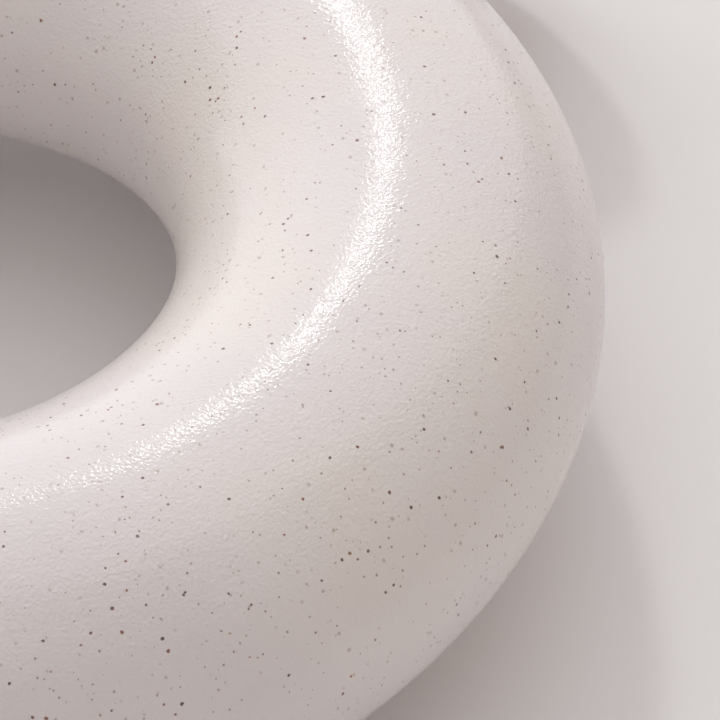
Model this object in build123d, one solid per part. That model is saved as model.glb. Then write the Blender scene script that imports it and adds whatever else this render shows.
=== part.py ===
from build123d import *
import os

# A donut vase in glazed stoneware, standing on its foot. Two hollow half rings meet on the plane
# Y = 0, a flared neck sits on the ring's crown and an oval foot carries the ring.
# Z is up, Y runs from front to back, and the origin is the middle of the foot's underside.
# All lengths are in millimetres.

# Driving dimensions of the ring
ring_radius = 62.0
tube_half_width = 26.0
tube_half_depth = 21.0
ring_wall = 5.0

# Driving dimensions of the neck
neck_radius = 17.0
neck_wall = 4.0
neck_rise = 36.0
neck_straight = 8.0
lip_flare = 3.0

# Driving dimensions of the foot
ring_clearance = 5.0
foot_half_width = 35.0
foot_top_half_width = 28.0
foot_edge = 1.5
foot_rim = 6.0
foot_recess = 2.0

# Cuts run past the faces that they open by this much
overrun = 3.0

# The film of slip that beds the foot under the ring
slip_film = 0.02

# Shares of the tube's half depth, for the foot's depth at the base and at the top and for the
# fillets of both joints, and of its half width, for how far the foot's top is buried in the ring
foot_depth_share = 1.19
foot_top_depth_share = 0.62
joint_fillet_share = 0.24
foot_bury_share = 0.095

# Sizes that follow from those above
foot_seat_share = 1 - (1 - foot_top_depth_share ** 2) ** 0.5
foot_height = ring_clearance + tube_half_width * (foot_seat_share + foot_bury_share)
foot_half_depth = tube_half_depth * foot_depth_share
foot_top_half_depth = tube_half_depth * foot_top_depth_share
joint_fillet = tube_half_depth * joint_fillet_share
ring_height = ring_clearance + tube_half_width + ring_radius
crown_height = ring_height + ring_radius + tube_half_width
tube_top_height = ring_height + ring_radius
mouth_height = crown_height + neck_rise
bore_radius = neck_radius - neck_wall


def ring_solid(inset):
    """The ring filled solid, with its tube drawn in all round by the inset."""
    tube = Ellipse(tube_half_width - inset, tube_half_depth - inset)
    ring = revolve(Pos(ring_radius, 0) * tube, Axis.Y)
    return Pos(0, 0, ring_height) * ring


def ring_halves():
    """The hollow ring with its port under the neck, parted on the middle plane."""
    shell = ring_solid(0) - ring_solid(ring_wall)
    port_length = tube_half_width + overrun
    port = Pos(0, 0, tube_top_height) * extrude(Circle(bore_radius), port_length)
    shell -= port
    front = split(shell, Plane.XZ, keep=Keep.TOP)
    back = split(shell, Plane.XZ, keep=Keep.BOTTOM)
    if front.center().Y > back.center().Y:
        front, back = back, front
    return front, back


def neck_section(radius, lip_radius, lip_height):
    """Half of the section that a neck surface encloses, from the axis out to the surface."""
    flare_start = crown_height + neck_straight
    wall_line = Line((radius, tube_top_height), (radius, flare_start))
    flare = TangentArc((radius, flare_start), (lip_radius, lip_height), tangent=(0, 1))
    outline = [
        Line((0, tube_top_height), (radius, tube_top_height)),
        wall_line,
        flare,
        Line((lip_radius, lip_height), (0, lip_height)),
        Line((0, lip_height), (0, tube_top_height)),
    ]
    return make_face(outline)


def turned(section):
    """A section in the X and Z directions turned about the vertical axis."""
    return revolve(Plane.XZ * section, Axis.Z)


def neck_collar():
    """The flared neck, filleted on to the crown and cut to the ring's saddle."""
    lip_round = neck_wall / 2
    lip_height = mouth_height - lip_round
    outer_lip = neck_radius + lip_flare
    inner_lip = bore_radius + lip_flare
    blank = turned(neck_section(neck_radius, outer_lip, lip_height))
    ring = ring_solid(0)
    joined = ring + blank
    seam = new_edges(ring, blank, combined=joined)
    collar = fillet(seam, joint_fillet) - ring
    bead = Pos((outer_lip + inner_lip) / 2, lip_height) * Circle(lip_round)
    collar += turned(bead)
    bore = turned(neck_section(bore_radius, inner_lip, lip_height))
    return collar - bore


def foot_blank():
    """The foot's oval block with a rounded bottom edge and a shallow recess beneath."""
    base = Ellipse(foot_half_width, foot_half_depth)
    top = Pos(0, 0, foot_height) * Ellipse(foot_top_half_width, foot_top_half_depth)
    blank = loft([base, top])
    blank = fillet(blank.edges().group_by(Axis.Z)[0], foot_edge)
    hollow = Ellipse(foot_half_width - foot_rim, foot_half_depth - foot_rim)
    return blank - extrude(Pos(0, 0, -overrun) * hollow, foot_recess + overrun)


def foot_plinth():
    """The oval foot, filleted on to the ring's underside and cut to its curve, less the film of slip."""
    blank = foot_blank()
    ring = ring_solid(0)
    joined = ring + blank
    seam = new_edges(ring, blank, combined=joined)
    return fillet(seam, joint_fillet) - ring_solid(-slip_film)


def write(node, piece):
    """Writes one named piece, with its count of solids and its volume."""
    export_step(piece, "parts/" + node + ".step")
    print(node, len(piece.solids()), round(piece.volume))


os.makedirs("parts", exist_ok=True)
front_half, back_half = ring_halves()
write("ring_front_half", front_half)
write("ring_back_half", back_half)
write("neck", neck_collar())
write("foot", foot_plinth())
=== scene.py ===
"""A donut vase of speckled stoneware in an off-white satin glaze, standing on its foot.

The frame gives the ring, neck and foot at their real sizes. This script models the glazed
skin of each one as a potter would make it, gives it its glaze, and sets the stage, the
lights and the camera. Lengths are in metres, and the values below are in millimetres
times MM. The hole's axis lies along Y, and the front of the vase faces -Y.
"""
import logging
import math
from collections.abc import Callable, Iterable
from dataclasses import dataclass, field
from enum import Enum
from typing import Any

import bmesh
import bpy
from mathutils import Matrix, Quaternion, Vector


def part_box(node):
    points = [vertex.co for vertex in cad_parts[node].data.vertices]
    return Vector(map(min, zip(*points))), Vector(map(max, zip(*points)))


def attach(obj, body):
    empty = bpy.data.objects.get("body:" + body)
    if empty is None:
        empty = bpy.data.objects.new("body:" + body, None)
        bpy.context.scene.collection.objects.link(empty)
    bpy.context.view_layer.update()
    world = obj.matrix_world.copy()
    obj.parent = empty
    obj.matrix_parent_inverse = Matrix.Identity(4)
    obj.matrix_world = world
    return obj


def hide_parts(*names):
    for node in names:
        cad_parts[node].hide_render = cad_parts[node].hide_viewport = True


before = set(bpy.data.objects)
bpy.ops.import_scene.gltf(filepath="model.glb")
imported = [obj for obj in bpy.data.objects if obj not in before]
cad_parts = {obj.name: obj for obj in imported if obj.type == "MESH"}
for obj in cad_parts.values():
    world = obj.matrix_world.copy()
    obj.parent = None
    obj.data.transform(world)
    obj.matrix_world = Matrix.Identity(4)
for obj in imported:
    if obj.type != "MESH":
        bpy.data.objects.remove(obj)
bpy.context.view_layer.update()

MM = 0.001
FULL_TURN = 2.0 * math.pi
MERGE_DISTANCE = 0.01 * MM
ON_THE_LINE = 0.003

log = logging.getLogger("vase")
Socket = bpy.types.NodeSocket


def linear(hex_colour: str) -> tuple[float, float, float, float]:
    """Turns an sRGB hex colour into the linear colour that a shader takes.

    Args:
        hex_colour: Six hex digits after a hash, such as "#e8e2dc".

    Returns:
        Red, green, blue and an alpha of one, in linear light.
    """
    parts = [int(hex_colour[i:i + 2], 16) / 255.0 for i in (1, 3, 5)]
    light = [c / 12.92 if c <= 0.04045 else ((c + 0.055) / 1.055) ** 2.4 for c in parts]
    return (light[0], light[1], light[2], 1.0)


def add_node(
    tree: bpy.types.NodeTree,
    kind: str,
    settings: dict[Any, Any] | None = None,
    links: dict[Any, Socket] | None = None,
) -> bpy.types.Node:
    """Adds a node with its settings and its links.

    Args:
        tree: The node tree that gets the node.
        kind: Blender's name of the node type.
        settings: Values by input name, input number or property name.
        links: Output sockets by the name or number of the input that they feed.

    Returns:
        The new node.
    """
    node = tree.nodes.new(kind)
    for key, value in (settings or {}).items():
        if isinstance(key, str) and hasattr(node, key):
            setattr(node, key, value)
    for key, value in (settings or {}).items():
        if isinstance(key, int) or not hasattr(node, key):
            node.inputs[key].default_value = value
    for key, socket in (links or {}).items():
        tree.links.new(socket, node.inputs[key])
    return node


def new_material(name: str) -> tuple[bpy.types.Material, bpy.types.NodeTree]:
    """Makes an empty node material.

    Args:
        name: The finish's name.

    Returns:
        The material and its node tree, with no nodes in it.
    """
    material = bpy.data.materials.new(name)
    material.use_nodes = True
    material.node_tree.nodes.clear()
    return material, material.node_tree


class SlotName(Enum):
    """The names of the record's material slots for the vase's two finishes."""

    GLAZE = "glaze"
    BARE_STONEWARE = "bare_stoneware"


@dataclass(frozen=True)
class SpeckLayer:
    """Grains of iron in the clay that show through the glaze, or pinholes darkened with painted shade, one
    size class at a time.

    A grain sits in each cell of a three-dimensional scatter, and shows where the surface
    cuts it, so the spots vary in size as real ones do. Where the clay is richer in iron,
    more of the cells hold a grain.
    """

    spacing: float
    largest_radius: float
    share_of_cells: float
    edge: float
    seed_shift: float
    strength: float
    dark: str
    light: str
    crowding: float = 0.30
    crowd_wave: float = 9.0 * MM

    def lay(self, tree: bpy.types.NodeTree, place: Socket, under: Socket) -> tuple[Socket, Socket]:
        """Lays the grains over a colour.

        Args:
            tree: The material's node tree.
            place: The coordinates in metres.
            under: The colour so far.

        Returns:
            The new colour, and a socket that is one inside a grain and zero outside.
        """
        shifted = add_node(
            tree, "ShaderNodeVectorMath", {"operation": "ADD", 1: (self.seed_shift,) * 3}, {0: place}
        )
        cells = add_node(
            tree, "ShaderNodeTexVoronoi",
            {"voronoi_dimensions": "3D", "feature": "F1", "Scale": 1.0 / self.spacing, "Randomness": 1.0},
            {"Vector": shifted.outputs[0]},
        )
        chance = add_node(tree, "ShaderNodeSeparateColor", {}, {"Color": cells.outputs["Color"]})
        crowd = add_node(
            tree, "ShaderNodeTexNoise", {"Scale": 1.0 / self.crowd_wave, "Detail": 1.0},
            {"Vector": shifted.outputs[0]},
        )
        luck = add_node(
            tree, "ShaderNodeMath", {"operation": "MULTIPLY_ADD", 1: self.crowding},
            {0: crowd.outputs["Fac"], 2: chance.outputs[0]},
        )
        cut = 1.0 - self.share_of_cells + 0.5 * self.crowding
        radius = add_node(
            tree, "ShaderNodeMapRange",
            {"From Min": cut, "From Max": cut + self.share_of_cells, "To Min": -self.edge / self.spacing,
             "To Max": self.largest_radius / self.spacing},
            {"Value": luck.outputs[0]},
        )
        depth = add_node(
            tree, "ShaderNodeMath", {"operation": "SUBTRACT"},
            {0: radius.outputs[0], 1: cells.outputs["Distance"]},
        )
        inside = add_node(
            tree, "ShaderNodeMath", {"operation": "DIVIDE", "use_clamp": True, 1: self.edge / self.spacing},
            {0: depth.outputs[0]},
        )
        tone = add_node(
            tree, "ShaderNodeMix", {"data_type": "RGBA", 6: linear(self.dark), 7: linear(self.light)},
            {0: chance.outputs[1]},
        )
        share = add_node(
            tree, "ShaderNodeMath", {"operation": "MULTIPLY", 1: self.strength}, {0: inside.outputs[0]}
        )
        laid = add_node(
            tree, "ShaderNodeMix", {"data_type": "RGBA"},
            {0: share.outputs[0], 6: under, 7: tone.outputs[2]},
        )
        return laid.outputs[2], inside.outputs[0]


@dataclass(frozen=True)
class SpeckledGlaze:
    """Off-white satin glaze over speckled stoneware, dipped and fired in reduction.

    The eye sees a warm, faintly pink white with a fine, sugary skin that breaks the
    highlight into glints, dark iron specks that bled through, paler ones still under the
    glaze, and a few pinholes where gas escaped, dark partly from the clay at their bottom and partly from
    painted shade.
    """

    name: str = "speckled_satin_glaze"
    body: str = "#eae4e2"
    body_cool: str = "#e6e0e0"
    body_warm: str = "#ebe4dd"
    roughness: float = 0.5
    ior: float = 1.5
    coat: float = 0.7
    coat_roughness: float = 0.08
    hand_wave: float = 11.0 * MM
    hand_height: float = 0.10 * MM
    peel_wave: float = 0.95 * MM
    peel_height: float = 0.060 * MM
    grain_wave: float = 0.42 * MM
    grain_height: float = 0.085 * MM
    coat_evens: float = 0.42
    tone_wave: float = 45.0 * MM
    pit_depth: float = 0.12 * MM
    wobble_wave: float = 0.35 * MM
    wobble_reach: float = 0.22 * MM
    cool_below: float = 0.36
    warm_above: float = 0.64
    # Spacing, largest radius, share of the cells that hold a grain, soft edge, shift of the
    # scatter, strength, and the darkest and lightest colour of a grain.
    ghosts: SpeckLayer = SpeckLayer(
        0.95 * MM, 0.32 * MM, 0.62, 0.17 * MM, 0.313, 0.54, "#948072", "#b09680"
    )
    dust: SpeckLayer = SpeckLayer(
        0.60 * MM, 0.18 * MM, 0.40, 0.07 * MM, 0.117, 0.64, "#643a28", "#a5714a"
    )
    specks: SpeckLayer = SpeckLayer(
        1.05 * MM, 0.25 * MM, 0.42, 0.07 * MM, 0.731, 0.90, "#3a211a", "#8f5233"
    )
    # The pinholes' dark colours are partly the clay at the bottom of each pit and partly painted shade
    # inside it.
    pinholes_with_painted_shade: SpeckLayer = SpeckLayer(
        2.0 * MM, 0.21 * MM, 0.30, 0.08 * MM, 0.517, 0.82, "#43332b", "#6a5448"
    )

    def material(self) -> bpy.types.Material:
        """Builds the glaze.

        Returns:
            The finished material.
        """
        material, tree = new_material(self.name)
        place = add_node(tree, "ShaderNodeTexCoord").outputs["Object"]
        wobble = self._wobbled(tree, place)
        colour = self._body_colour(tree, place)
        for layer in (self.ghosts, self.dust, self.specks, self.pinholes_with_painted_shade):
            colour, mask = layer.lay(tree, wobble, colour)
        surface = add_node(
            tree, "ShaderNodeBsdfPrincipled",
            {"Roughness": self.roughness, "IOR": self.ior, "Coat Weight": self.coat,
             "Coat Roughness": self.coat_roughness, "Coat IOR": self.ior},
        )
        tree.links.new(colour, surface.inputs["Base Color"])
        tree.links.new(self._relief(tree, place, mask, 1.0), surface.inputs["Normal"])
        tree.links.new(self._relief(tree, place, mask, self.coat_evens), surface.inputs["Coat Normal"])
        add_node(tree, "ShaderNodeOutputMaterial", {}, {"Surface": surface.outputs[0]})
        return material

    def _wobbled(self, tree: bpy.types.NodeTree, place: Socket) -> Socket:
        """Moves the coordinates a little, so that the grains aren't perfect discs.

        Args:
            tree: The material's node tree.
            place: The coordinates in metres.

        Returns:
            The socket of the moved coordinates.
        """
        noise = add_node(
            tree, "ShaderNodeTexNoise", {"Scale": 1.0 / self.wobble_wave, "Detail": 1.0}, {"Vector": place}
        )
        centred = add_node(
            tree, "ShaderNodeVectorMath", {"operation": "SUBTRACT", 1: (0.5, 0.5, 0.5)},
            {0: noise.outputs["Color"]},
        )
        small = add_node(
            tree, "ShaderNodeVectorMath", {"operation": "SCALE", "Scale": self.wobble_reach},
            {0: centred.outputs[0]},
        )
        moved = add_node(
            tree, "ShaderNodeVectorMath", {"operation": "ADD"}, {0: place, 1: small.outputs[0]}
        )
        return moved.outputs[0]

    def _body_colour(self, tree: bpy.types.NodeTree, place: Socket) -> Socket:
        """Lets the white drift between a cool and a warm cast, as glaze does with its depth.

        Args:
            tree: The material's node tree.
            place: The coordinates in metres.

        Returns:
            The socket of the colour.
        """
        drift = add_node(
            tree, "ShaderNodeTexNoise", {"Scale": 1.0 / self.tone_wave, "Detail": 3.0, "Roughness": 0.55},
            {"Vector": place},
        )
        ramp = add_node(tree, "ShaderNodeValToRGB", {}, {"Fac": drift.outputs["Fac"]})
        stops = ramp.color_ramp.elements
        stops[0].position, stops[0].color = self.cool_below, linear(self.body_cool)
        stops[1].position, stops[1].color = self.warm_above, linear(self.body_warm)
        middle = stops.new((self.cool_below + self.warm_above) / 2.0)
        middle.color = linear(self.body)
        return ramp.outputs["Color"]

    def _relief(self, tree: bpy.types.NodeTree, place: Socket, pits: Socket, share: float) -> Socket:
        """Adds the unevenness of the hand, the orange peel, the sugary grain and the pinholes.

        Args:
            tree: The material's node tree.
            place: The coordinates in metres.
            pits: A socket that is one inside a pinhole.
            share: The share of the fine relief that shows, less on top, where the glaze ran level.

        Returns:
            The socket of the bumped normal.
        """
        normal = None
        waves = (
            (self.hand_wave, self.hand_height, 1.0),
            (self.peel_wave, self.peel_height * share, 2.0),
            (self.grain_wave, self.grain_height * share, 1.0),
        )
        for wave, height, detail in waves:
            noise = add_node(
                tree, "ShaderNodeTexNoise", {"Scale": 1.0 / wave, "Detail": detail, "Roughness": 0.55},
                {"Vector": place},
            )
            below = {"Normal": normal} if normal else {}
            bump = add_node(
                tree, "ShaderNodeBump", {"Strength": 1.0, "Distance": height},
                {"Height": noise.outputs["Fac"], **below},
            )
            normal = bump.outputs[0]
        pitted = add_node(
            tree, "ShaderNodeBump", {"Strength": 1.0, "Distance": self.pit_depth, "invert": True},
            {"Height": pits, "Normal": normal},
        )
        return pitted.outputs[0]


@dataclass(frozen=True)
class BareStoneware:
    """Unglazed speckled stoneware on the foot ring, sponged and sanded after firing.

    The eye sees a dry, sandy buff with dark iron grains and no gloss.
    """

    name: str = "bare_stoneware"
    buff: str = "#b9a48c"
    dark_buff: str = "#a38d76"
    roughness: float = 0.9
    sand_wave: float = 0.5 * MM
    sand_height: float = 0.05 * MM
    grains: SpeckLayer = SpeckLayer(
        1.3 * MM, 0.25 * MM, 0.5, 0.06 * MM, 0.117, 0.8, "#3d2a20", "#6a4a36"
    )

    def material(self) -> bpy.types.Material:
        """Builds the bare clay.

        Returns:
            The finished material.
        """
        material, tree = new_material(self.name)
        place = add_node(tree, "ShaderNodeTexCoord").outputs["Object"]
        sand = add_node(
            tree, "ShaderNodeTexNoise", {"Scale": 1.0 / self.sand_wave, "Detail": 3.0, "Roughness": 0.7},
            {"Vector": place},
        )
        clay = add_node(
            tree, "ShaderNodeMix", {"data_type": "RGBA", 6: linear(self.buff), 7: linear(self.dark_buff)},
            {0: sand.outputs["Fac"]},
        )
        colour, _ = self.grains.lay(tree, place, clay.outputs[2])
        bump = add_node(
            tree, "ShaderNodeBump", {"Strength": 1.0, "Distance": self.sand_height},
            {"Height": sand.outputs["Fac"]},
        )
        surface = add_node(
            tree, "ShaderNodeBsdfPrincipled", {"Roughness": self.roughness},
            {"Base Color": colour, "Normal": bump.outputs[0]},
        )
        add_node(tree, "ShaderNodeOutputMaterial", {}, {"Surface": surface.outputs[0]})
        return material


class Workbench:
    """The few moves that every piece is made with, each an operator used as by hand."""

    @staticmethod
    def clear() -> None:
        """Leaves edit mode and deselects everything."""
        if bpy.context.object and bpy.context.object.mode != "OBJECT":
            bpy.ops.object.mode_set(mode="OBJECT")
        bpy.ops.object.select_all(action="DESELECT")

    @staticmethod
    def start(name: str) -> bpy.types.Object:
        """Names the primitive that was just added and opens it in edit mode.

        Args:
            name: The piece's name.

        Returns:
            The object, in edit mode.
        """
        piece = bpy.context.object
        piece.name = name
        piece.data.name = name
        bpy.ops.object.transform_apply(location=True, rotation=True, scale=True)
        bpy.ops.object.mode_set(mode="EDIT")
        return piece

    @staticmethod
    def take(piece: bpy.types.Object) -> None:
        """Makes one object the active and only selected one.

        Args:
            piece: The object.
        """
        Workbench.clear()
        piece.select_set(True)
        bpy.context.view_layer.objects.active = piece

    @staticmethod
    def pick(piece: bpy.types.Object, wanted: Callable[[Vector], bool]) -> int:
        """Selects, in edit mode, the vertices that lie where they are wanted.

        Args:
            piece: The object in edit mode.
            wanted: Says of a place whether a vertex there is selected.

        Returns:
            How many vertices are selected.
        """
        bpy.ops.mesh.select_mode(type="VERT")
        bpy.ops.mesh.select_all(action="DESELECT")
        mesh = bmesh.from_edit_mesh(piece.data)
        chosen = [vertex for vertex in mesh.verts if wanted(vertex.co)]
        for vertex in chosen:
            vertex.select_set(True)
        mesh.select_flush(True)
        bmesh.update_edit_mesh(piece.data)
        return len(chosen)

    @staticmethod
    def pull(lift: float, spread: tuple[float, float], centre: Vector) -> None:
        """Extrudes the selected loop upwards and draws it in or out about an upright axis.

        Args:
            lift: How far the new loop goes up.
            spread: The factors in X and Y from the last loop to this one.
            centre: A point on the axis.
        """
        bpy.ops.mesh.extrude_edges_move(TRANSFORM_OT_translate={"value": (0.0, 0.0, lift)})
        bpy.ops.transform.resize(value=(spread[0], spread[1], 1.0), center_override=centre)

    @staticmethod
    def apply(piece: bpy.types.Object, kind: str, **settings: Any) -> None:
        """Adds a modifier with its settings and applies it.

        Args:
            piece: The object that gets it.
            kind: Blender's name of the modifier type.
            **settings: The modifier's own properties.
        """
        Workbench.take(piece)
        modifier = piece.modifiers.new(kind.lower(), kind)
        for key, value in settings.items():
            setattr(modifier, key, value)
        bpy.ops.object.modifier_apply(modifier=modifier.name)

    @staticmethod
    def outward(piece: bpy.types.Object) -> None:
        """Merges doubles and turns the faces outwards.

        Args:
            piece: The object, which is left in object mode.
        """
        Workbench.take(piece)
        bpy.ops.object.mode_set(mode="EDIT")
        bpy.ops.mesh.select_all(action="SELECT")
        bpy.ops.mesh.remove_doubles(threshold=MERGE_DISTANCE)
        bpy.ops.mesh.normals_make_consistent(inside=False)
        bpy.ops.object.mode_set(mode="OBJECT")

    @staticmethod
    def smooth(piece: bpy.types.Object, degrees: float = 40.0) -> None:
        """Shades a piece smooth, but for the edges that turn by more than an angle."""
        Workbench.take(piece)
        bpy.ops.object.shade_smooth_by_angle(angle=math.radians(degrees))

    @staticmethod
    def dress(
        piece: bpy.types.Object, material: bpy.types.Material, slot: SlotName, nodes: Iterable[str]
    ) -> None:
        """Gives a finished piece its material and its place in the frame.

        Args:
            piece: The finished object.
            material: Its finish.
            slot: The record's slot that the finish belongs to; not used.
            nodes: The construction nodes that it stands for.
        """
        piece.data.materials.clear()
        piece.data.materials.append(material)
        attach(piece, "root")
        names = list(nodes)
        if names:
            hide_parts(*names)
        log.info("%s: %d faces", piece.name, len(piece.data.polygons))


@dataclass
class HollowRing:
    """The hollow ring under its glaze, thrown round and drawn to an oval section."""

    tube_half_width: float = 26.0 * MM
    wall: float = 5.0 * MM
    port_radius: float = 13.0 * MM
    section_points: int = 96
    round_steps: int = 208
    outer_radius: float = field(init=False)
    tube_half_depth: float = field(init=False)
    centre: Vector = field(init=False)

    def __post_init__(self) -> None:
        """Reads the ring's reach and place from the frame."""
        low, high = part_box("ring_front_half")
        self.outer_radius = (high[0] - low[0]) / 2.0
        self.tube_half_depth = high[1] - low[1]
        self.centre = Vector(((low[0] + high[0]) / 2.0, high[1], low[2] + self.outer_radius))

    @property
    def tube_radius(self) -> float:
        """From the hole's centre to the middle of the tube."""
        return self.outer_radius - self.tube_half_width

    @property
    def crown(self) -> float:
        """Height of the ring's highest point."""
        return self.centre.z + self.outer_radius

    def skin_holds(self, place: Vector, slack: float) -> bool:
        """Says whether a place lies on the ring's skin.

        Args:
            place: The place.
            slack: How far off it may lie, as a share of the tube's half width.

        Returns:
            True where it lies on the skin.
        """
        out = math.hypot(place.x - self.centre.x, place.z - self.centre.z) - self.tube_radius
        across = math.hypot(out / self.tube_half_width, (place.y - self.centre.y) / self.tube_half_depth)
        return abs(across - 1.0) < slack

    def skin(self) -> bpy.types.Object:
        """Spins the oval section round the hole.

        Returns:
            The ring's outer skin, closed and smooth.
        """
        Workbench.clear()
        section = self.centre + Vector((self.tube_radius, 0.0, 0.0))
        bpy.ops.mesh.primitive_circle_add(
            vertices=self.section_points, radius=self.tube_half_width, location=section
        )
        ring = Workbench.start("ring")
        bpy.ops.mesh.select_all(action="SELECT")
        flatten = self.tube_half_depth / self.tube_half_width
        bpy.ops.transform.resize(value=(1.0, flatten, 1.0), center_override=section)
        bpy.ops.mesh.spin(steps=self.round_steps, angle=FULL_TURN, center=self.centre, axis=(0.0, 1.0, 0.0))
        bpy.ops.object.mode_set(mode="OBJECT")
        Workbench.outward(ring)
        return ring

    def hollow(self, ring: bpy.types.Object) -> None:
        """Gives the skin its clay wall and opens the port under the neck.

        Args:
            ring: The outer skin from skin().
        """
        Workbench.apply(ring, "SOLIDIFY", thickness=self.wall, offset=-1.0, use_even_offset=True)
        Workbench.clear()
        reach = 3.0 * self.wall
        bpy.ops.mesh.primitive_cylinder_add(
            vertices=self.section_points, radius=self.port_radius, depth=2.0 * reach,
            location=(self.centre.x, self.centre.y, self.crown - self.wall / 2.0),
        )
        drill = bpy.context.object
        Workbench.apply(ring, "BOOLEAN", object=drill, operation="DIFFERENCE", solver="EXACT")
        bpy.data.objects.remove(drill)


@dataclass(frozen=True)
class Oval:
    """An oval in plan about the vase's upright middle line."""

    half_width: float
    half_depth: float

    def has(self, place: Vector) -> bool:
        """Says whether a place lies on the oval, seen from above."""
        return abs(math.hypot(place.x / self.half_width, place.y / self.half_depth) - 1.0) < ON_THE_LINE

    def wider(self, by: float) -> "Oval":
        """Gives the oval that runs outside this one at a distance."""
        return Oval(self.half_width + by, self.half_depth + by)

    def spread_to(self, other: "Oval") -> tuple[float, float]:
        """Gives the factors in X and Y that turn this oval into another."""
        return other.half_width / self.half_width, other.half_depth / self.half_depth


@dataclass
class LutedJoint:
    """A joint wiped smooth with slip, where a thrown piece meets the ring."""

    ring: HollowRing
    skin: bpy.types.Object
    upwards: bool
    middle: Vector
    seam: Oval
    hem: Oval
    under: Oval
    segments: int = 8
    tuck: float = 0.02 * MM
    deep_tuck: float = 0.35 * MM
    bevel_percent: float = 97.0
    seam_slack: float = 0.002
    under_slack: float = 0.03

    def seat(self, piece: bpy.types.Object, sink: float) -> None:
        """Lays the loop that is selected in edit mode on the ring, straight up or down.

        Args:
            piece: The object in edit mode.
            sink: How far the loop is then sunk under the ring's skin.
        """
        bpy.ops.object.mode_set(mode="OBJECT")
        group = piece.vertex_groups.new(name="seat")
        group.add([vertex.index for vertex in piece.data.vertices if vertex.select], 1.0, "REPLACE")
        Workbench.apply(
            piece, "SHRINKWRAP", target=self.skin, wrap_method="PROJECT", use_project_z=True,
            use_positive_direction=self.upwards, use_negative_direction=not self.upwards,
            vertex_group="seat",
        )
        bpy.ops.object.mode_set(mode="EDIT")
        bpy.ops.mesh.select_all(action="DESELECT")
        piece.vertex_groups.active = piece.vertex_groups["seat"]
        bpy.ops.object.vertex_group_select()
        bpy.ops.transform.translate(value=(0.0, 0.0, sink if self.upwards else -sink))
        bpy.ops.object.vertex_group_remove()

    def finish(self, piece: bpy.types.Object, inner: Callable[[Vector], bool]) -> None:
        """Runs the seam out along the ring, rounds it, and closes the piece underneath.

        Args:
            piece: The piece, still open at its seam, in edit mode.
            inner: Says of a place whether it belongs to the piece's other open edge.
        """
        Workbench.pick(piece, self._on_seam)
        bpy.ops.mesh.extrude_edges_move(TRANSFORM_OT_translate={"value": (0.0, 0.0, 0.0)})
        self._spread(self.seam, self.hem)
        self.seat(piece, self.tuck)
        bpy.ops.mesh.extrude_edges_move(TRANSFORM_OT_translate={"value": (0.0, 0.0, 0.0)})
        self._spread(self.hem, self.under)
        self.seat(piece, self.deep_tuck)
        Workbench.pick(piece, self._on_seam)
        bpy.ops.mesh.bevel(
            offset_type="PERCENT", offset_pct=self.bevel_percent, segments=self.segments, profile=0.5,
            affect="EDGES", clamp_overlap=False, loop_slide=True,
        )
        Workbench.pick(piece, lambda place: self._is_under(place) or inner(place))
        bpy.ops.mesh.bridge_edge_loops()
        bpy.ops.object.mode_set(mode="OBJECT")
        Workbench.outward(piece)

    def _on_seam(self, place: Vector) -> bool:
        """Says whether a place lies on the seam."""
        return self.seam.has(place) and self.ring.skin_holds(place, self.seam_slack)

    def _is_under(self, place: Vector) -> bool:
        """Says whether a place lies on the hidden edge, just under the ring's skin."""
        return self.under.has(place) and self.ring.skin_holds(place, self.under_slack)

    def _spread(self, last: Oval, wide: Oval) -> None:
        """Widens the selected loop in plan, and lifts it clear of the ring to be seated anew."""
        factor = last.spread_to(wide)
        bpy.ops.transform.resize(value=(factor[0], factor[1], 0.0), center_override=self.middle)


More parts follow.
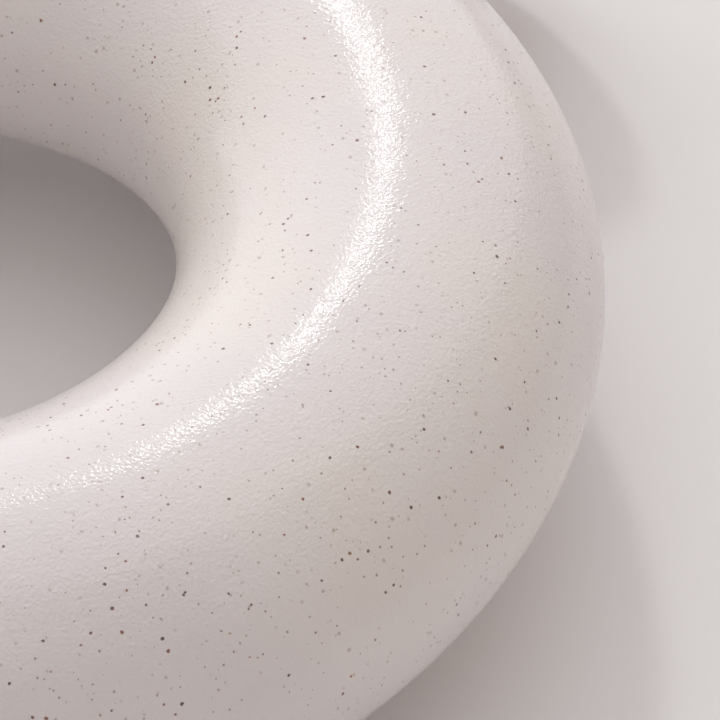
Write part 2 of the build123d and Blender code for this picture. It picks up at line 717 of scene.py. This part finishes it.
@dataclass
class ThrownNeck:
    """The short neck: a thrown collar with a flared, rounded lip, luted on to the crown."""

    ring: HollowRing
    radius: float = 17.0 * MM
    wall: float = 4.0 * MM
    straight: float = 8.0 * MM
    flare: float = 3.0 * MM
    fillet: float = 4.2 * MM
    hem: Oval = Oval(21.3 * MM, 18.3 * MM)
    under: Oval = Oval(22.6 * MM, 19.0 * MM)
    points: int = 128
    flare_steps: int = 10
    lip_steps: int = 10
    mouth: float = field(init=False)

    def __post_init__(self) -> None:
        """Reads the mouth's height from the frame."""
        self.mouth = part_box("neck")[1][2]

    def profile(self) -> list[tuple[float, float]]:
        """Lists the collar's section from above the joint over the lip and down the bore.

        Returns:
            Radius and height of each loop, in the order in which they are pulled.
        """
        lip_round = self.wall / 2.0
        lip_height = self.mouth - lip_round
        flare_start = self.ring.crown + self.straight
        rise = lip_height - flare_start
        bend = (self.flare ** 2 + rise ** 2) / (2.0 * self.flare)
        turn = math.asin(rise / bend)
        sweep = [turn * (i + 1) / self.flare_steps for i in range(self.flare_steps)]
        bore = self.radius - self.wall
        loops = [(self.radius, flare_start - self.straight / 4.0), (self.radius, flare_start)]
        loops += [
            (self.radius + bend * (1.0 - math.cos(a)), flare_start + bend * math.sin(a)) for a in sweep
        ]
        middle = self.radius + self.flare - lip_round
        around = [math.pi * (i + 1) / self.lip_steps for i in range(self.lip_steps)]
        loops += [(middle + lip_round * math.cos(a), lip_height + lip_round * math.sin(a)) for a in around]
        back = [*reversed(sweep[:-1]), 0.0]
        loops += [(bore + bend * (1.0 - math.cos(a)), flare_start + bend * math.sin(a)) for a in back]
        loops.append((bore, self.ring.crown + self.wall / 2.0))
        return loops

    def model(self, skin: bpy.types.Object) -> bpy.types.Object:
        """Pulls the collar up from a loop that is settled on the ring, and joins it on.

        Args:
            skin: The ring's outer skin, which the neck sits on.

        Returns:
            The finished neck.
        """
        above = Vector((self.ring.centre.x, self.ring.centre.y, self.mouth))
        seam = Oval(self.radius, self.radius)
        joint = LutedJoint(self.ring, skin, False, above, seam, self.hem, self.under)
        Workbench.clear()
        bpy.ops.mesh.primitive_circle_add(vertices=self.points, radius=self.radius, location=above)
        neck = Workbench.start("neck")
        bpy.ops.mesh.select_all(action="SELECT")
        joint.seat(neck, 0.0)
        Workbench.pull(self.fillet, (1.0, 1.0), above)
        loops = self.profile()
        bpy.ops.mesh.extrude_edges_move(TRANSFORM_OT_translate={"value": (0.0, 0.0, 0.0)})
        radius, height = loops[0]
        bpy.ops.transform.resize(value=(1.0, 1.0, 0.0), center_override=(above.x, above.y, height))
        for next_radius, next_height in loops[1:]:
            Workbench.pull(next_height - height, (next_radius / radius,) * 2, above)
            radius, height = next_radius, next_height
        Workbench.pull(0.0, (1.0, 1.0), above)
        joint.seat(neck, joint.deep_tuck)
        bore = Oval(radius, radius)
        joint.finish(neck, lambda place: bore.has(place) and place.z < self.ring.crown)
        Workbench.smooth(neck)
        return neck


@dataclass
class TurnedFoot:
    """The oval foot: a low flared plinth under the ring, glazed down to a wiped foot rim."""

    ring: HollowRing
    base: Oval = Oval(35.0 * MM, 25.0 * MM)
    top: Oval = Oval(28.0 * MM, 13.0 * MM)
    height: float = 13.0 * MM
    edge: float = 1.5 * MM
    recess: Oval = Oval(29.0 * MM, 19.0 * MM)
    recess_depth: float = 2.0 * MM
    glaze_line: float = 1.7 * MM
    glaze_thickness: float = 0.25 * MM
    joint_start: float = 6.6 * MM
    seam: Oval = Oval(29.5 * MM, 14.2 * MM)
    hem: Oval = Oval(34.2 * MM, 16.7 * MM)
    under: Oval = Oval(35.0 * MM, 17.3 * MM)
    core: Oval = Oval(23.0 * MM, 10.0 * MM)
    points: int = 160
    edge_steps: int = 8
    side_steps: int = 8

    def side(self, height: float) -> Oval:
        """Gives the foot's outline at a height, with its bottom edge rounded.

        Args:
            height: The height above the foot's standing plane.

        Returns:
            The outline.
        """
        wide = self._reach(height, self.base.half_width, self.top.half_width)
        deep = self._reach(height, self.base.half_depth, self.top.half_depth)
        return Oval(wide, deep)

    def _reach(self, height: float, low: float, high: float) -> float:
        """Gives how far the foot reaches at a height, along one of its two directions.

        Args:
            height: The height above the foot's standing plane.
            low: The reach at the bottom, if its edge weren't rounded.
            high: The reach at the top.

        Returns:
            The reach from the middle line.
        """
        slope = (low - high) / self.height
        inside = math.atan2(1.0, slope)
        run = self.edge / math.tan(inside / 2.0)
        if height > run * math.sin(inside):
            return low - slope * height
        rest = max(self.edge ** 2 - (self.edge - height) ** 2, 0.0)
        return low - run + math.sqrt(rest)

    def model_rim(self) -> bpy.types.Object:
        """Turns the bare rim that the vase stands on, with its shallow recess.

        Returns:
            The finished rim.
        """
        middle = Vector((self.ring.centre.x, self.ring.centre.y, self.recess_depth))
        ease = self.edge / 3.0
        loops = [
            (self.recess, self.recess_depth - ease),
            (self.recess, ease),
            (self.recess.wider(0.3 * ease), 0.3 * ease),
            (self.recess.wider(ease), 0.0),
            (self.side(0.0).wider(-self.glaze_thickness), 0.0),
        ]
        for i in range(self.edge_steps):
            height = self.edge * (1.0 - math.cos(0.5 * math.pi * (i + 1) / self.edge_steps))
            loops.append((self.side(height).wider(-self.glaze_thickness), height))
        loops.append((self.side(2.0 * self.edge).wider(-2.0 * self.glaze_thickness), 2.0 * self.edge))
        first = self.recess.wider(-ease)
        Workbench.clear()
        bpy.ops.mesh.primitive_circle_add(
            vertices=self.points, radius=first.half_width, fill_type="NGON", location=middle
        )
        rim = Workbench.start("foot_rim")
        bpy.ops.mesh.select_all(action="SELECT")
        bpy.ops.transform.resize(
            value=(1.0, first.half_depth / first.half_width, 1.0), center_override=middle
        )
        self._pull_all(first, self.recess_depth, loops, middle)
        bpy.ops.mesh.edge_face_add()
        bpy.ops.object.mode_set(mode="OBJECT")
        Workbench.outward(rim)
        Workbench.smooth(rim, 50.0)
        return rim

    def model_glazed(self, skin: bpy.types.Object) -> bpy.types.Object:
        """Pulls the glazed plinth down from the ring to its rolled glaze edge, and joins it on.

        Args:
            skin: The ring's outer skin, which rests on the foot.

        Returns:
            The finished plinth.
        """
        middle = Vector((self.ring.centre.x, self.ring.centre.y, 0.0))
        joint = LutedJoint(self.ring, skin, True, middle, self.seam, self.hem, self.under)
        Workbench.clear()
        bpy.ops.mesh.primitive_circle_add(
            vertices=self.points, radius=self.seam.half_width, location=middle
        )
        foot = Workbench.start("foot")
        bpy.ops.mesh.select_all(action="SELECT")
        bpy.ops.transform.resize(
            value=(1.0, self.seam.half_depth / self.seam.half_width, 1.0), center_override=middle
        )
        joint.seat(foot, 0.0)
        factor = self.seam.spread_to(self.side(self.joint_start))
        bpy.ops.mesh.extrude_edges_move(TRANSFORM_OT_translate={"value": (0.0, 0.0, 0.0)})
        level = Vector((middle.x, middle.y, self.joint_start))
        bpy.ops.transform.resize(value=(factor[0], factor[1], 0.0), center_override=level)
        thick = self.glaze_thickness
        line = self.glaze_line
        drop = (self.joint_start - line - 0.3 * thick) / self.side_steps
        heights = [self.joint_start - drop * (i + 1) for i in range(self.side_steps)]
        loops = [(self.side(height), height) for height in heights]
        # The glaze ends in a roll about as thick as itself, and turns in under the foot.
        loops += [
            (self.side(line).wider(-0.1 * thick), line - 0.15 * thick),
            (self.side(line).wider(-0.4 * thick), line - 0.4 * thick),
            (self.side(line).wider(-0.9 * thick), line - 0.35 * thick),
            (self.side(line).wider(-1.6 * thick), line + 0.4 * thick),
            (self.core, 2.6 * self.edge),
        ]
        self._pull_all(self.side(self.joint_start), self.joint_start, loops, middle)
        Workbench.pull(0.0, (1.0, 1.0), middle)
        joint.seat(foot, joint.deep_tuck)
        under_ring = self.ring.centre.z - self.ring.outer_radius
        joint.finish(foot, lambda place: self.core.has(place) and place.z > under_ring)
        Workbench.smooth(foot, 50.0)
        return foot

    def _pull_all(
        self, start: Oval, height: float, loops: list[tuple[Oval, float]], middle: Vector
    ) -> None:
        """Pulls one loop after the other from the one that is selected.

        Args:
            start: The selected loop's oval.
            height: Its height.
            loops: The oval and height of each new loop.
            middle: A point on the upright middle line.
        """
        last = start
        for oval, level in loops:
            Workbench.pull(level - height, last.spread_to(oval), middle)
            last, height = oval, level


@dataclass
class Stage:
    """A pale floor, and behind the vase a pale backdrop that takes its shadow.

    The photograph was taken with the vase lying on its back, so the backdrop stands just
    behind it where that table was, and the floor can't be seen from below.
    """

    floor_hex: str = "#d8d6d5"
    backdrop_hex: str = "#f0eeee"
    behind: float = 26.5 * MM
    floor_reach: float = 1.6
    back_half_width: float = 0.36
    back_height: float = 0.46

    def model(self) -> list[bpy.types.Object]:
        """Lays the floor and stands the backdrop up.

        Returns:
            Both stage pieces.
        """
        floor = self._panel("floor", Vector((0.0, 0.0, 0.0)), 0.0, (self.floor_reach, self.floor_reach))
        floor.data.materials.append(self._card("floor_card", self.floor_hex, False))
        place = Vector((0.0, self.behind, self.back_height / 2.0))
        back = self._panel("backdrop", place, 90.0, (self.back_half_width, self.back_height / 2.0))
        back.data.materials.append(self._card("backdrop_card", self.backdrop_hex, True))
        return [floor, back]

    def _panel(self, name: str, place: Vector, tilt: float, reach: tuple[float, float]) -> bpy.types.Object:
        """Makes one flat panel.

        Args:
            name: The panel's name.
            place: Its middle.
            tilt: How many degrees it is turned up about X.
            reach: How far it goes from its middle, along X and across.

        Returns:
            The panel.
        """
        Workbench.clear()
        bpy.ops.mesh.primitive_plane_add(size=2.0, location=place, rotation=(math.radians(tilt), 0.0, 0.0))
        panel = bpy.context.object
        panel.scale = (reach[0], reach[1], 1.0)
        Workbench.start(name)
        bpy.ops.object.mode_set(mode="OBJECT")
        return panel

    def _card(self, name: str, colour: str, lets_light_by: bool) -> bpy.types.Material:
        """Makes matt card that can't be seen from its back, and may let light pass.

        Args:
            name: The card's name.
            colour: Its sRGB hex colour.
            lets_light_by: Whether lamps behind the panel still reach the vase.

        Returns:
            The material.
        """
        material, tree = new_material(name)
        card = add_node(tree, "ShaderNodeBsdfDiffuse", {"Color": linear(colour)})
        clear = add_node(tree, "ShaderNodeBsdfTransparent")
        hidden = add_node(tree, "ShaderNodeNewGeometry").outputs["Backfacing"]
        if lets_light_by:
            path = add_node(tree, "ShaderNodeLightPath")
            hidden = add_node(
                tree, "ShaderNodeMath", {"operation": "MAXIMUM"},
                {0: hidden, 1: path.outputs["Is Shadow Ray"]},
            ).outputs[0]
        shown = add_node(
            tree, "ShaderNodeMixShader", {}, {0: hidden, 1: card.outputs[0], 2: clear.outputs[0]}
        )
        add_node(tree, "ShaderNodeOutputMaterial", {}, {"Surface": shown.outputs[0]})
        return material


@dataclass(frozen=True)
class SoftLamp:
    """A lamp so far off that its light falls the same way everywhere.

    The glaze doesn't mirror a lamp that doesn't shine back.
    """

    name: str
    toward: tuple[float, float, float]
    width_degrees: float
    strength: float
    colour: str
    shines_back: bool = True

    def hang(self) -> None:
        """Hangs the lamp in its direction, seen from the vase."""
        data = bpy.data.lights.new(self.name, "SUN")
        data.angle = math.radians(self.width_degrees)
        data.energy = self.strength
        data.color = linear(self.colour)[:3]
        lamp = bpy.data.objects.new(self.name, data)
        lamp.visible_glossy = self.shines_back
        lamp.rotation_mode = "QUATERNION"
        lamp.rotation_quaternion = (-Vector(self.toward)).to_track_quat("-Z", "Y")
        bpy.context.scene.collection.objects.link(lamp)
        log.info("lamp %s: %g degrees wide", self.name, self.width_degrees)


@dataclass(frozen=True)
class WindowPane:
    """A pane of the studio's window, of which the glaze shows the reflection alone."""

    name: str
    toward: tuple[float, float, float]
    size: tuple[float, float]
    watts: float
    colour: str = "#fbfdff"
    distance: float = 4.0
    aim: Vector = field(default_factory=lambda: Vector((0.0, 0.0, 93.0 * MM)))

    def hang(self) -> None:
        """Hangs the pane in its direction, facing the vase."""
        data = bpy.data.lights.new(self.name, "AREA")
        data.shape = "RECTANGLE"
        data.size, data.size_y = self.size
        data.energy = self.watts
        data.color = linear(self.colour)[:3]
        pane = bpy.data.objects.new(self.name, data)
        pane.visible_diffuse = False
        toward = Vector(self.toward).normalized()
        pane.location = self.aim + toward * self.distance
        pane.rotation_mode = "QUATERNION"
        pane.rotation_quaternion = (-toward).to_track_quat("-Z", "Y")
        bpy.context.scene.collection.objects.link(pane)
        log.info("pane %s: %g W", self.name, self.watts)


@dataclass
class StudioLight:
    """A cool key from the upper left, softer light round it and from the side, and a warm room."""

    # Name, direction from the vase, width in degrees, strength, colour and whether it shines back.
    lamps: tuple[SoftLamp, ...] = (
        SoftLamp("key", (-0.579, -0.638, 0.507), 6.0, 0.50, "#f4faff", False),
        SoftLamp("sky", (-0.579, -0.638, 0.507), 100.0, 1.58, "#f6f9ff"),
        SoftLamp("side", (-1.0, 0.0, 0.25), 100.0, 0.9, "#fffcf9"),
    )
    # Name, direction from the vase, width and height, and power in watts.
    panes: tuple[WindowPane, ...] = (
        WindowPane("lower_pane", (-0.477, -0.669, 0.570), (0.19, 0.26), 5.2),
        WindowPane("upper_pane", (-0.447, -0.612, 0.652), (0.16, 0.16), 3.0),
    )
    room: float = 0.40
    room_hex: str = "#fff0e6"
    paper_hex: str = "#f2f1f0"

    def set_up(self) -> None:
        """Hangs the lamps and the panes and lights the room."""
        for lamp in (*self.lamps, *self.panes):
            lamp.hang()
        self._room()

    def _room(self) -> None:
        """Lights the room evenly, and shows white paper beyond the floor."""
        world = bpy.data.worlds.new("room")
        world.use_nodes = True
        tree = world.node_tree
        tree.nodes.clear()
        light = add_node(
            tree, "ShaderNodeBackground", {"Color": linear(self.room_hex), "Strength": self.room}
        )
        seen = add_node(tree, "ShaderNodeBackground", {"Color": linear(self.paper_hex), "Strength": 1.0})
        path = add_node(tree, "ShaderNodeLightPath")
        mixed = add_node(
            tree, "ShaderNodeMixShader", {},
            {0: path.outputs["Is Camera Ray"], 1: light.outputs[0], 2: seen.outputs[0]},
        )
        add_node(tree, "ShaderNodeOutputWorld", {}, {"Surface": mixed.outputs[0]})
        bpy.context.scene.world = world


@dataclass
class MacroCamera:
    """A long lens close to the ring, as in the photograph."""

    place: Vector = field(default_factory=lambda: Vector((234.0, -291.3, -117.7)) * MM)
    heading: float = -31.57
    pitch: float = 34.49
    roll: float = 47.97
    lens: float = 175.0
    sensor: float = 36.0

    def set_up(self) -> None:
        """Puts the camera in its place and makes it the scene's camera."""
        data = bpy.data.cameras.new("macro")
        data.lens = self.lens
        data.sensor_width = self.sensor
        data.clip_start = 5.0 * MM
        data.clip_end = 50.0
        camera = bpy.data.objects.new("macro", data)
        heading, pitch = math.radians(self.heading), math.radians(self.pitch)
        level = math.cos(pitch)
        looks = Vector((math.sin(heading) * level, math.cos(heading) * level, math.sin(pitch)))
        turn = looks.to_track_quat("-Z", "Y") @ Quaternion((0.0, 0.0, 1.0), math.radians(self.roll))
        camera.rotation_mode = "QUATERNION"
        camera.rotation_quaternion = turn
        camera.location = self.place
        bpy.context.scene.collection.objects.link(camera)
        bpy.context.scene.camera = camera


def main() -> None:
    """Builds the vase piece by piece, then the stage, the lights and the camera."""
    logging.basicConfig(level=logging.INFO, format="%(name)s %(message)s")
    glaze = SpeckledGlaze().material()
    clay = BareStoneware().material()

    ring_maker = HollowRing()
    ring = ring_maker.skin()
    neck = ThrownNeck(ring_maker).model(ring)
    foot_maker = TurnedFoot(ring_maker)
    foot = foot_maker.model_glazed(ring)
    rim = foot_maker.model_rim()
    ring_maker.hollow(ring)
    Workbench.smooth(ring)

    Workbench.dress(ring, glaze, SlotName.GLAZE, ["ring_front_half", "ring_back_half"])
    Workbench.dress(neck, glaze, SlotName.GLAZE, ["neck"])
    Workbench.dress(foot, glaze, SlotName.GLAZE, ["foot"])
    Workbench.dress(rim, clay, SlotName.BARE_STONEWARE, [])

    Stage().model()
    StudioLight().set_up()
    MacroCamera().set_up()
    bpy.context.scene.view_settings.view_transform = "Standard"


if __name__ == "__main__":
    main()
